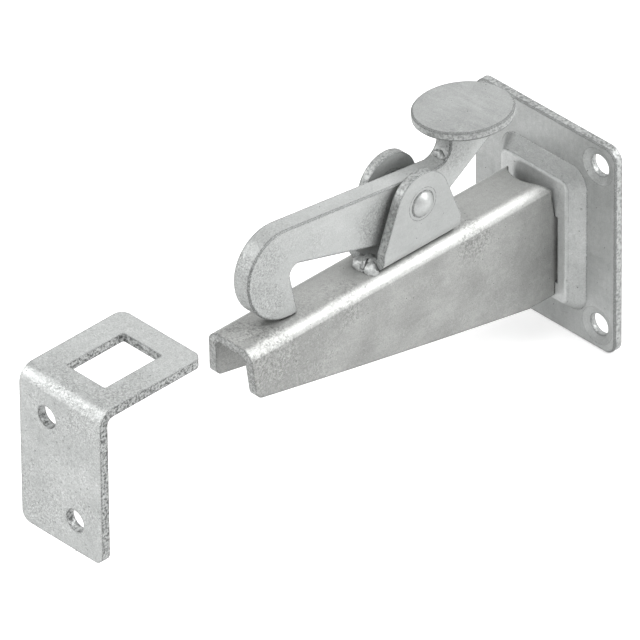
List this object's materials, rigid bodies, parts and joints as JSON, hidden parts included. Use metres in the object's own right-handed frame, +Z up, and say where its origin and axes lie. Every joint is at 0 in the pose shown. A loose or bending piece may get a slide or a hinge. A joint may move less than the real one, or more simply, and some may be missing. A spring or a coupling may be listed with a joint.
{
  "type": "gate holdback catch",
  "caption": "Wall-mounted gate holdback with a folded arm, a pivoting gravity hook with a thumb disc, and a windowed keeper plate.",
  "frame": {"origin": "centre of the wall plate's back face, where the catch meets the wall", "axes": "+Y into the wall, so the arm points to -Y; +Z up; +X along the wall"},
  "size_m": [0.08, 0.2727, 0.1281],
  "materials": {
    "galvanised_steel": "hot-dip galvanised, mottled",
    "weld_metal": "galvanised weld bead",
    "rivet_steel": "galvanised, smooth dome"
  },
  "bodies": {
    "root": {"wall_plate": "galvanised_steel", "arm_channel": "galvanised_steel", "arm_weld_left": "weld_metal", "arm_weld_right": "weld_metal", "pivot_bracket": "galvanised_steel", "bracket_weld_front": "weld_metal", "bracket_weld_rear": "weld_metal", "pivot_rivet": "rivet_steel", "keeper_plate": "galvanised_steel"},
    "hook": {"hook_lever": "galvanised_steel", "thumb_disc": "galvanised_steel", "disc_weld": "weld_metal"}
  },
  "joints": [
    {"name": "hook_pivot", "type": "hinge", "parent": "root", "child": "hook", "pos_m": [0, -0.084, 0.051], "axis": [-1, 0, 0], "range_deg": [0, 40]}
  ]
}
